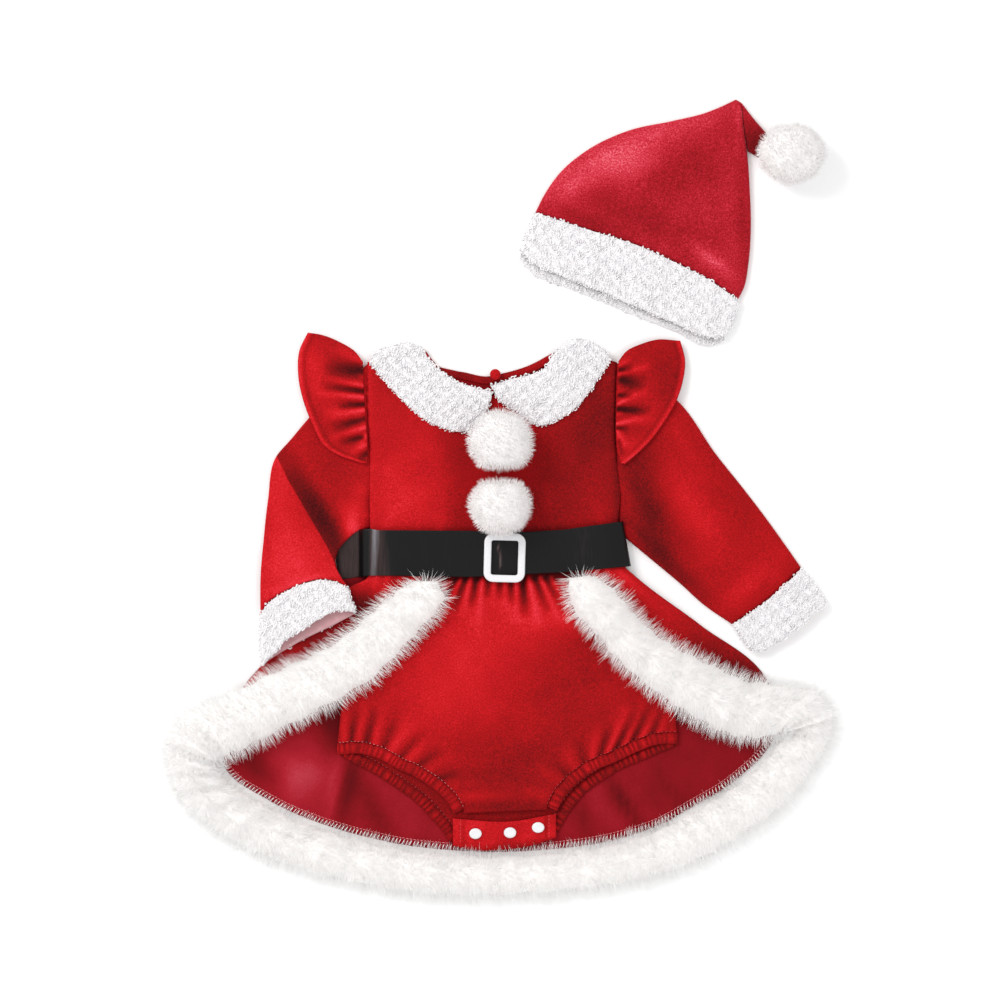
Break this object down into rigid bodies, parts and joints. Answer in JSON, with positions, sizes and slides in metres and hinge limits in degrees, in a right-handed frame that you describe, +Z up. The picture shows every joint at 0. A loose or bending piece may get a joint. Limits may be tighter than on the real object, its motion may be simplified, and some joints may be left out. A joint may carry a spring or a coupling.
{
  "type": "baby romper dress with belt and hat, laid flat",
  "caption": "Baby romper dress in red velvet with an open fur-edged overskirt, sherpa collar and cuffs, satin belt and pompoms, with its matching peaked hat, laid flat.",
  "frame": {"origin": "middle of the whole laid-out set on the surface it lies on", "axes": "+Z up from the surface, +Y from the hem towards the collar and hat, +X towards the hat's side"},
  "size_m": [0.5788, 0.6805, 0.0526],
  "materials": {
    "velvet": "red velvet with a short nap",
    "sherpa": "white curly pile",
    "fur": "white long-pile fur",
    "ribbon": "black satin",
    "plastic": "white moulded plastic"
  },
  "bodies": {
    "root": {"bodice_back": "velvet", "bodice_front": "velvet", "neck_binding": "velvet", "neck_button": "velvet", "collar_left": "sherpa", "collar_right": "sherpa", "sleeve_left": "velvet", "sleeve_right": "velvet", "cuff_left": "sherpa", "cuff_right": "sherpa", "ruffle_left": "velvet", "ruffle_right": "velvet", "belt": "ribbon", "buckle": "plastic", "bloomer_front": "velvet", "bloomer_back": "velvet", "leg_casing_front_left": "velvet", "leg_casing_front_right": "velvet", "leg_casing_back_left": "velvet", "leg_casing_back_right": "velvet", "crotch_placket": "velvet", "snap_left": "plastic", "snap_middle": "plastic", "snap_right": "plastic", "skirt_back": "velvet", "skirt_front_left": "velvet", "skirt_front_right": "velvet", "fur_front_left": "fur", "fur_hem_left": "fur", "fur_hem_middle": "fur", "fur_hem_right": "fur", "fur_front_right": "fur", "pompom_top": "fur", "pompom_low": "fur", "hat_pompom": "fur", "hat_crown": "velvet", "hat_tip": "velvet", "hat_brim": "sherpa"}
  },
  "joints": []
}
